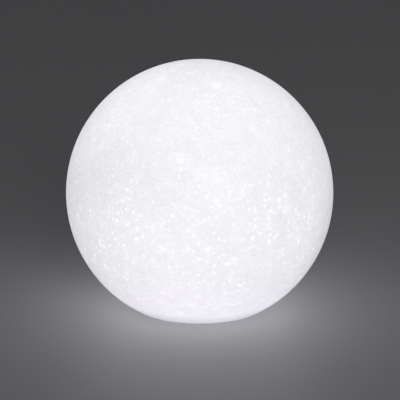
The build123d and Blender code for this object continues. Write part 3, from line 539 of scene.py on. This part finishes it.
def moulded(name, colour, grain, relief, rough, **extra):
    """Moulded plastic or rubber: a grain of small cells and a faint flow in the colour.

    `grain` is the number of cells to the metre, `relief` their depth and `rough` the roughness from the
    middle of a cell to its rim.
    """
    shade = Shade(name)
    pits = shade.span(shade.cells(grain, "SMOOTH_F1").outputs["Distance"], 0.1, 0.7, 0.0, 1.0)
    flow = shade.noise(35, 3.0)
    height = shade.math("ADD", pits, shade.noise(grain * 2.2, 1.0))
    bump = shade.add("ShaderNodeBump", {"Height": height, "Distance": relief, "Strength": 0.8})
    return shade.finish(
        Base_Color=shade.blend(shade.span(flow, 0.3, 0.7, 0, 1), rgba(colour, 0.94), rgba(colour, 1.04)),
        Roughness=shade.span(pits, 0, 1, *rough),
        Normal=bump.outputs["Normal"],
        **extra,
    )


def turned(name, colour, rough=(0.22, 0.38), stretch=(1, 1, 9), relief=0.012 * MM):
    """Machined or rolled metal: fine tool lines, stretched noise, and a slight dulling in patches."""
    shade = Shade(name, stretch)
    lines = shade.noise(1400, 2.0, 0.6)
    dull = shade.noise(60, 3.0)
    bump = shade.add("ShaderNodeBump", {"Height": lines, "Distance": relief, "Strength": 0.7})
    return shade.finish(
        Base_Color=shade.blend(shade.span(dull, 0.3, 0.7, 0, 1), rgba(colour, 0.88), rgba(colour, 1.05)),
        Metallic=1.0,
        Roughness=shade.span(shade.math("ADD", lines, dull), 0.7, 1.3, *rough),
        Normal=bump.outputs["Normal"],
    )


def board(name, colour, track, rough=(0.3, 0.42)):
    """A circuit board: solder mask over raised copper tracks on a square pitch, and a glass weave."""
    shade = Shade(name)
    sockets = {"Vector": shade.place, "Scale": 420.0, "Mortar Size": 0.09, "Mortar Smooth": 0.3}
    tracks = shade.add("ShaderNodeTexBrick", sockets, offset=0.35, squash=0.6).outputs["Fac"]
    routed = shade.math("MULTIPLY", tracks, shade.span(shade.noise(110, 0.0), 0.46, 0.5, 0, 1))
    weave = shade.noise(2600, 1.0)
    height = shade.math("ADD", routed, shade.math("MULTIPLY", weave, 0.25))
    bump = shade.add("ShaderNodeBump", {"Height": height, "Distance": 0.035 * MM, "Strength": 0.9})
    return shade.finish(
        Base_Color=shade.blend(routed, rgba(colour), rgba(track)),
        Roughness=shade.span(weave, 0.3, 0.7, *rough),
        Normal=bump.outputs["Normal"],
        Coat_Weight=0.25,
        Coat_Roughness=0.2,
    )


def lead(name, colour):
    """Insulated wire: smooth plastic with a faint waviness and a soft gloss."""
    shade = Shade(name)
    wave = shade.noise(260, 2.0)
    bump = shade.add("ShaderNodeBump", {"Height": wave, "Distance": 0.04 * MM, "Strength": 0.5})
    return shade.finish(
        Base_Color=shade.blend(shade.span(wave, 0.3, 0.7, 0, 1), rgba(colour, 0.85), rgba(colour, 1.1)),
        Roughness=shade.span(shade.noise(900), 0.3, 0.7, 0.28, 0.42),
        Normal=bump.outputs["Normal"],
    )


# Patches of painted light and painted shade on the glow: direction from the globe's centre, the
# cosines between which it sets in, and the share of the glow that it adds.
PAINTED_GLOW_PATCHES = (
    ((-0.71, 0.0, 0.71), 0.72, 0.97, 0.1),
    ((0.95, 0.0, -0.3), 0.78, 1.0, -0.12),
    ((-0.45, -0.82, -0.35), 0.75, 1.0, 0.05),
    ((0.0, -0.66, -0.75), 0.85, 1.0, 0.04),
)


def glowing_wall(globe, centre_z):
    """The globe's wall, lit from inside: patches of painted light and shade, grain and small specks in
    the glow.

    The glow is even round the globe apart from the painted patches; painted light makes it a little
    stronger at the top, over the lamp.
    Painted shade makes it fade towards the foot and most in the recess, where the ledge and the seal hold
    the light back.
    """
    shade = Shade("Glowing moulded wall")
    parts = shade.add("ShaderNodeSeparateXYZ", {0: shade.place})
    height = parts.outputs["Z"]
    flat = shade.add("ShaderNodeCombineXYZ", {0: parts.outputs["X"], 1: parts.outputs["Y"]}).outputs[0]
    across = shade.add("ShaderNodeVectorMath", {0: flat}, operation="LENGTH").outputs["Value"]

    # Noise from fine to coarse, between -1 and 1; the drift is between 0 and 1.
    grain = shade.span(shade.noise(620, 3.0, 0.65), 0.25, 0.75, -1, 1, smooth=False)
    pebble = shade.span(shade.noise(330, 2.0, 0.6), 0.3, 0.7, -1, 1, smooth=False)
    cloud = shade.span(shade.noise(62, 3.0, 0.55), 0.3, 0.7, -1, 1, smooth=False)
    drift = shade.span(shade.noise(17, 1.0), 0.35, 0.65, 0, 1)

    def specks(scale, size, share):
        """Soft round spots in a share of the cells, `scale` to the metre, each with its own strength."""
        cell = shade.cells(scale)
        spot = shade.span(cell.outputs["Distance"], 0, size, 1, 0)
        chance = shade.add("ShaderNodeSeparateColor", {0: cell.outputs["Color"]}).outputs[0]
        return shade.math("MULTIPLY", spot, shade.span(chance, 1 - share, 1, 0, 1))

    # The bright specks are strongest in a belt below the globe's middle, and come and go with the drift.
    below_middle = shade.span(height, centre_z + 0.08, centre_z - 0.01, 0.5, 1.0)
    above_foot = shade.span(height, centre_z - 0.125, centre_z - 0.08, 0.8, 1.0)
    belt = shade.math("MULTIPLY", below_middle, above_foot)
    many = shade.math("MULTIPLY", belt, shade.span(drift, 0, 1, 0.6, 1.15, smooth=False))
    small = shade.math("MULTIPLY", specks(scale=185, size=0.55, share=0.85), many)
    large = shade.math("MULTIPLY", specks(scale=105, size=0.46, share=0.8), many)
    wide = specks(scale=52, size=0.45, share=0.6)

    # Each layer, and the share of the glow that its strongest places add.
    texture = 1.0
    for layer, share in (
        (grain, 0.12),
        (pebble, 0.02),
        (cloud, 0.025),
        (small, 0.28),
        (large, 0.21),
        (wide, 0.08),
    ):
        texture = shade.math("ADD", texture, shade.math("MULTIPLY", layer, share))

    # Painted light brighter over the lamp and painted shade darker towards the foot, then the painted
    # patches.
    above = shade.span(height, centre_z + 0.03, centre_z + 0.15, 0.0, 0.12)
    below = shade.span(height, centre_z - 0.02, centre_z - 0.13, 0.0, -0.1)
    rise = shade.math("ADD", shade.math("ADD", above, below), 1.0)
    outward = shade.add(
        "ShaderNodeVectorMath", {0: shade.place, 1: (0, 0, centre_z)}, operation="SUBTRACT"
    ).outputs["Vector"]
    outward = shade.add("ShaderNodeVectorMath", {0: outward}, operation="NORMALIZE").outputs["Vector"]
    # Patches of painted light and painted shade in set directions.
    for towards, start, end, amount in PAINTED_GLOW_PATCHES:
        facing = shade.add("ShaderNodeVectorMath", {0: outward, 1: towards}, operation="DOT_PRODUCT")
        rise = shade.math("ADD", rise, shade.span(facing.outputs["Value"], start, end, 0.0, amount))

    # Painted shade: the ledge and the seal hold the light back in the recess, and less of it reaches the
    # foot's edge, so the glow is darkened there.
    inside = shade.span(across, globe.recess_radius + 4 * MM, globe.recess_radius + 12 * MM, 1.0, 0.0)
    near_ground = shade.span(height, 14 * MM, 20 * MM, 1.0, 0.0)
    shaded = shade.math("MULTIPLY", inside, near_ground)
    painted_shade = shade.span(shaded, 0, 1, 1.0, 0.22, smooth=False)
    # Painted shade towards the foot's edge, darkest at the ground.
    painted_foot_shade = shade.span(height, 0, 17 * MM, 0.6, 1.0, smooth=False)
    painted_shade = shade.math("MULTIPLY", painted_shade, painted_foot_shade)
    glow = shade.math("MULTIPLY", shade.math("MULTIPLY", texture, rise), painted_shade)

    relief = shade.math("ADD", shade.math("MULTIPLY", grain, 0.35), shade.math("MULTIPLY", cloud, 0.9))
    pimples = specks(scale=180, size=0.4, share=0.8)
    relief = shade.math("ADD", relief, shade.math("MULTIPLY", pimples, 0.8))
    bump = shade.add("ShaderNodeBump", {"Height": relief, "Distance": 0.09 * MM, "Strength": 0.6})
    patches = shade.span(cloud, -1, 1, 0, 1)
    return shade.finish(
        Base_Color=shade.blend(patches, rgba(globe.colour, 0.97), rgba(globe.colour, 1.02)),
        Roughness=shade.span(grain, -1, 1, 0.5, 0.64),
        Emission_Color=rgba(globe.glow_colour),
        Emission_Strength=shade.math("MULTIPLY", glow, globe.glow),
        Coat_Weight=1.0,
        Coat_Roughness=0.5,
        Normal=bump.outputs["Normal"],
    )


def dress(material, *names):
    """Gives CAD nodes a material in every one of their slots."""
    for name in names:
        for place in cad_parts[name].material_slots:
            place.material = material


def settle(piece, body, slot, material, *stands_for):
    """Rides a new piece on a body with its material, and hides the CAD nodes that it stands for; `slot`
    is not used.
    """
    piece.data.materials.append(material)
    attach(piece, body)
    if stands_for:
        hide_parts(*stands_for)


# --- Operators -----------------------------------------------------------------------


class POOLLIGHT_OT_globe(Operator):
    """Build the moulded globe with its foot, recess, ledge and mouth, and light it"""

    bl_idname = "poollight.globe"
    bl_label = "Lit globe"

    def execute(self, context):
        """The section is turned about Z.

        A point is the section's distance times the cosine and sine of an angle, and the section's height.
        The outer skin's distance from the globe's centre is less by the unevenness times the mean of
        three slow waves, which die out towards the foot and the top. Each wave has its number of turns
        round the globe, its climb and its shift. The bosses are skins of their own, with their feet
        inside the ledge.
        """
        globe = context.scene.poollight_globe
        centre_z = GLOBE_TOP - globe.radius
        section = globe_section(globe, centre_z)
        turn = np.linspace(0, 2 * np.pi, globe.segments, endpoint=False)[None, :]
        away, height = section[:, :1], section[:, 1:]
        outer = (np.arange(len(section)) < globe.rings)[:, None]
        rise = (height - centre_z) / globe.radius
        tilt = np.arcsin(np.clip(rise, -1, 1))
        waves = ((3, 4, 0.0), (5, -7, 1.3), (2, 11, 0.4))
        wander = sum(np.sin(around * turn + climb * tilt + shift) for around, climb, shift in waves)
        wander = (wander / len(waves) + 1) / 2
        off_foot, off_top = (rise + 0.8) / 0.3, (1 - rise) / 0.15
        strength = np.clip(off_foot, 0, 1) * np.clip(off_top, 0, 1) * outer
        shrink = 1 - globe.unevenness / globe.radius * strength * wander
        rings = np.stack(
            (
                away * shrink * np.cos(turn),
                away * shrink * np.sin(turn),
                centre_z + (height - centre_z) * shrink,
            ),
            axis=-1,
        )
        shells = [sphere_like(rings, (0, 0, GLOBE_TOP), (0, 0, GLOBE_TOP - globe.wall))]
        for step in range(globe.screws):
            angle = 2 * math.pi * step / globe.screws
            centre = (globe.screw_circle * math.cos(angle), globe.screw_circle * math.sin(angle))
            shells.append(boss(globe, centre))
        piece = make_mesh("globe_skin", *join(shells))
        settle(piece, "globe", "globe_pe", glowing_wall(globe, centre_z), "globe_shell")
        return {"FINISHED"}


class POOLLIGHT_OT_marks(Operator):
    """Raise the power mark in the button's dish and the charging mark on the flap"""

    bl_idname = "poollight.marks"
    bl_label = "Raised marks"

    def execute(self, context):
        """The power mark is a ring open at the front with a bar in its gap, both lying in the dish.

        The dish's height is its rise at the middle less the square of the distance over twice its
        radius. The bar's ends are in ring radii. The charging mark is a bolt of three straight strokes,
        its corners in half heights of the mark.
        """
        mark = context.scene.poollight_marks
        middle = np.array(((BUTTON_LOW.x + BUTTON_HIGH.x) / 2, (BUTTON_LOW.y + BUTTON_HIGH.y) / 2))
        face, dish_rise, dish_radius = BUTTON_LOW.z, 0.8 * MM, 20 * MM
        half_gap, bar_start, bar_end = 38, 0.45, 1.35
        ring_points, line_points = 61, 31
        towards_hinge = 1.2 * MM

        def in_dish(flat):
            """Flat points about the button's middle, lifted to the dish."""
            height = face + dish_rise - (flat**2).sum(axis=1, keepdims=True) / (2 * dish_radius)
            return np.concatenate((flat + middle, height), axis=1)

        turn = np.radians(np.linspace(-90 + half_gap, 270 - half_gap, ring_points))
        spoke = np.stack((np.cos(turn), np.sin(turn)), axis=1)
        sideways = np.concatenate((spoke, np.zeros((ring_points, 1))), axis=1)
        ring = stroke(in_dish(mark.ring_radius * spoke), sideways, mark.stroke, mark.height)
        run = mark.ring_radius * np.linspace(bar_start, bar_end, line_points)[:, None]
        sideways = np.tile((1.0, 0, 0), (line_points, 1))
        bar = stroke(in_dish(run * np.array((0, -1.0))), sideways, mark.stroke, mark.height)
        piece = make_mesh("power_mark", *join((ring, bar)))
        pale = moulded("Pale printed mark", (0.75, 0.76, 0.78), 1500, 0.01 * MM, (0.35, 0.45))
        settle(piece, "power_button", "button_plastic", pale)

        corners = np.array(((0.55, 1.0), (-0.75, -0.12), (0.75, 0.12), (-0.55, -1.0)))
        corners = corners * mark.bolt_height / 2
        centre_y = (FLAP_LOW.y + FLAP_HIGH.y) / 2 + towards_hinge
        shells = []
        for start, end in zip(corners[:-1], corners[1:]):
            share = np.linspace(0, 1, line_points)[:, None]
            flat = start + share * (end - start) + np.array((0, centre_y))
            path = np.concatenate((flat, np.full((line_points, 1), FLAP_LOW.z)), axis=1)
            ahead = (end - start) / np.linalg.norm(end - start)
            side = np.tile((ahead[1], -ahead[0], 0), (line_points, 1))
            shells.append(stroke(path, side, mark.stroke, mark.height))
        bolt = make_mesh("charging_mark", *join(shells))
        colour = context.scene.poollight_housing.button_colour
        soft = moulded("Flap mark", colour, 1200, 0.01 * MM, (0.5, 0.6))
        settle(bolt, "charging_flap", "flap_tpu", soft)
        return {"FINISHED"}


class POOLLIGHT_OT_housing(Operator):
    """Finish the lamp unit's body, button, flap, light pipe and seals"""

    bl_idname = "poollight.housing"
    bl_label = "Housing finishes"

    def execute(self, context):
        housing = context.scene.poollight_housing
        body = moulded("Textured white body", housing.base_colour, 1100, 0.06 * MM, (0.42, 0.58))
        dress(body, "lamp_base")
        sheen = {"Sheen_Weight": 0.12}
        flap = moulded("Satin flap", housing.flap_colour, 1700, 0.03 * MM, (0.55, 0.68), **sheen)
        dress(flap, "port_flap")
        button = moulded("Satin grey button", housing.button_colour, 1500, 0.03 * MM, (0.38, 0.5))
        dress(button, "button_cap")
        sheen = {"Sheen_Weight": 0.2, "Sheen_Roughness": 0.5}
        rubber = moulded("Silicone", housing.seal_colour, 700, 0.03 * MM, (0.6, 0.75), **sheen)
        dress(rubber, "mouth_gasket", "screw_washers", "flap_seal")
        dress(rubber, "dc_socket_seal", "button_seal", "dome_seal")
        dress(moulded("Dark tray", (0.035, 0.04, 0.045), 900, 0.06 * MM, (0.5, 0.65)), "battery_tray")
        coat = {"Coat_Weight": 0.2}
        black = moulded("Black moulding", (0.012, 0.012, 0.014), 1300, 0.02 * MM, (0.24, 0.36), **coat)
        dress(black, "dc_socket", "switch_plunger", "switch_body", "controller_chip", "remote_receiver")
        milky = {"Subsurface_Weight": 0.1}
        nylon = moulded("Natural nylon", (0.72, 0.69, 0.6), 1000, 0.02 * MM, (0.35, 0.45), **milky)
        dress(nylon, "lead_plugs")
        clear = {"Transmission_Weight": 0.75, "IOR": 1.49}
        pipe = moulded("Clear light pipe", (0.55, 0.85, 0.62), 1200, 0.01 * MM, (0.08, 0.14), **clear)
        dress(pipe, "status_light_pipe")
        return {"FINISHED"}


class POOLLIGHT_OT_metal(Operator):
    """Finish the screws, springs, contacts, inserts and aluminium parts"""

    bl_idname = "poollight.metal"
    bl_label = "Metal finishes"

    def execute(self, context):
        steel = turned("Satin stainless", (0.56, 0.56, 0.58))
        dress(steel, "base_screws", "button_clip", "button_spring", "switch_board_screws", "tray_screws")
        dress(steel, "clamp_screws", "led_board_screws", "dome_screws")
        brass = turned("Turned brass", (0.72, 0.5, 0.2), (0.25, 0.4))
        dress(brass, "threaded_inserts", "board_standoffs")
        nickel = turned("Nickel plate", (0.66, 0.63, 0.57), (0.12, 0.22), (1, 1, 3))
        dress(nickel, "dc_contact_pin", "dc_terminals", "dc_socket_nut", "cell_tabs")
        aluminium = turned("Brushed aluminium", (0.72, 0.73, 0.75), (0.3, 0.45), (1, 12, 1))
        dress(aluminium, "battery_clamp", "board_capacitors", "heat_deck")
        return {"FINISHED"}


class POOLLIGHT_OT_inside(Operator):
    """Finish the boards, cells, leads, light source and dome"""

    bl_idname = "poollight.inside"
    bl_label = "Inside finishes"

    def execute(self, context):
        green = board("Green circuit board", (0.01, 0.1, 0.035), (0.03, 0.2, 0.08))
        dress(green, "switch_board", "control_board")
        dress(board("White circuit board", (0.8, 0.8, 0.78), (0.7, 0.7, 0.66)), "led_board")
        sleeve = moulded("Cell sleeve", (0.02, 0.09, 0.26), 300, 0.02 * MM, (0.2, 0.3), Coat_Weight=0.3)
        dress(sleeve, "rear_cell", "front_cell")
        dress(moulded("Ferrite", (0.05, 0.05, 0.052), 2400, 0.05 * MM, (0.6, 0.8)), "charge_coil")
        dress(lead("Red lead", (0.4, 0.012, 0.01)), "charge_leads", "battery_leads")
        dress(lead("White lead", (0.75, 0.75, 0.74)), "switch_leads", "led_leads")
        lit = {"Emission_Color": (1.0, 0.97, 0.92, 1.0), "Emission_Strength": 1.2}
        phosphor = moulded("Phosphor window", (0.85, 0.72, 0.25), 2600, 0.01 * MM, (0.35, 0.5), **lit)
        lit = {"Emission_Color": (0.95, 0.97, 1.0, 1.0), "Emission_Strength": 0.35}
        lit["Transmission_Weight"] = 0.5
        frosted = moulded("Frosted dome", (0.88, 0.89, 0.9), 1800, 0.02 * MM, (0.5, 0.62), **lit)
        for material in (phosphor, frosted):
            material.cycles.emission_sampling = "NONE"
        dress(phosphor, "status_led", "led_emitters")
        dress(frosted, "diffuser_dome")
        return {"FINISHED"}


class POOLLIGHT_OT_stage(Operator):
    """Lay the pale floor, hang the soft lights and set up the camera"""

    bl_idname = "poollight.stage"
    bl_label = "Stage"

    def execute(self, context):
        """The floor is a disc whose rim rises in a quarter circle to a wall: a line turned about Z.

        The line is (distance, height), from the wall's top to the middle; the wall's top stays open.
        """
        stage = context.scene.poollight_stage
        bend, top, around = stage.floor_bend, stage.floor_top, stage.floor_segments
        flat_rings, bend_rings, smallest = 12, 25, 0.05
        curve = arc((stage.floor_radius, bend), bend, -90, 0, bend_rings)
        inner = np.linspace(smallest, stage.floor_radius, flat_rings, endpoint=False)
        inner = np.stack((inner, np.zeros(flat_rings)), axis=1)
        wall = np.array(((stage.floor_radius + bend, top),))
        line = np.concatenate((inner, curve, wall))[::-1]
        turn = np.linspace(0, 2 * np.pi, around, endpoint=False)
        away, height = line[:, :1], np.tile(line[:, 1:], (1, around))
        rings = np.stack((away * np.cos(turn), away * np.sin(turn), height), axis=-1)
        points, quads, triangles = sphere_like(rings, (0, 0, top), (0, 0, 0))
        floor = make_mesh("studio_floor", points, quads[:, ::-1], triangles[around:, ::-1])
        shade = Shade("Pale studio floor")
        mottle = shade.noise(3.0, 3.0)
        tooth = shade.noise(420, 3.0)
        bump = shade.add("ShaderNodeBump", {"Height": tooth, "Distance": 0.2 * MM, "Strength": 0.4})
        dark, pale = rgba(stage.floor_colour, 0.98), rgba(stage.floor_colour, 1.02)
        paper = shade.finish(
            Base_Color=shade.blend(mottle, dark, pale),
            Roughness=shade.span(tooth, 0.3, 0.7, 0.5, 0.62),
            Normal=bump.outputs["Normal"],
        )
        floor.data.materials.append(paper)

        scene = context.scene
        scene.view_settings.view_transform = "Standard"
        world = bpy.data.worlds.new("Studio")
        world.use_nodes = True
        background = world.node_tree.nodes["Background"]
        background.inputs["Color"].default_value = (0.96, 0.97, 1.0, 1.0)
        background.inputs["Strength"].default_value = stage.room
        scene.world = world

        centre = GLOBE_TOP - GLOBE_RADIUS
        softbox = bpy.data.lights.new("softbox", "AREA")
        softbox.shape, softbox.size, softbox.energy = "DISK", stage.key_size, stage.key
        lamp = bpy.data.objects.new("softbox", softbox)
        lamp.location = right, front, up = stage.key_place
        lean = math.atan2(math.hypot(right, front), up - centre)
        lamp.rotation_euler = (lean, 0, math.atan2(right, -front))
        lamp.visible_camera = False
        scene.collection.objects.link(lamp)

        camera = bpy.data.cameras.new("camera")
        camera.lens, camera.sensor_width = stage.lens, 36.0
        camera.clip_start, camera.clip_end = 0.05, 60.0
        view = bpy.data.objects.new("camera", camera)
        reach = stage.distance * math.cos(stage.elevation)
        view.location = (stage.aim_right, -reach, centre + stage.distance * math.sin(stage.elevation))
        drop = view.location.z - (centre - stage.aim_drop)
        view.rotation_euler = (math.pi / 2 - math.atan2(drop, reach), 0, 0)
        scene.collection.objects.link(view)
        scene.camera = view
        return {"FINISHED"}


class POOLLIGHT_PT_panel(Panel):
    """Lists what the script builds"""

    bl_idname = "POOLLIGHT_PT_panel"
    bl_label = "Floating pool light"
    bl_space_type = "VIEW_3D"
    bl_region_type = "UI"
    bl_category = "Pool light"

    def draw(self, context):
        for settings, _ in SETTINGS:
            group = getattr(context.scene, settings)
            box = self.layout.box()
            for size in group.__annotations__:
                box.prop(group, size)
        for operator in OPERATORS:
            self.layout.operator(operator.bl_idname)


SETTINGS = (
    ("poollight_globe", GlobeSettings),
    ("poollight_marks", MarkSettings),
    ("poollight_housing", HousingSettings),
    ("poollight_stage", StageSettings),
)
OPERATORS = (
    POOLLIGHT_OT_stage,
    POOLLIGHT_OT_globe,
    POOLLIGHT_OT_marks,
    POOLLIGHT_OT_housing,
    POOLLIGHT_OT_metal,
    POOLLIGHT_OT_inside,
)


def register():
    """Registers every class and hangs the settings on the scene."""
    for name, group in SETTINGS:
        bpy.utils.register_class(group)
        setattr(bpy.types.Scene, name, PointerProperty(type=group))
    for kind in (*OPERATORS, POOLLIGHT_PT_panel):
        bpy.utils.register_class(kind)


def unregister():
    """Takes the classes and the settings away again."""
    for kind in reversed((*OPERATORS, POOLLIGHT_PT_panel)):
        bpy.utils.unregister_class(kind)
    for name, group in reversed(SETTINGS):
        delattr(bpy.types.Scene, name)
        bpy.utils.unregister_class(group)


def main():
    """Builds everything."""
    register()
    for operator in OPERATORS:
        group, action = operator.bl_idname.split(".")
        getattr(getattr(bpy.ops, group), action)()


if __name__ == "__main__":
    main()
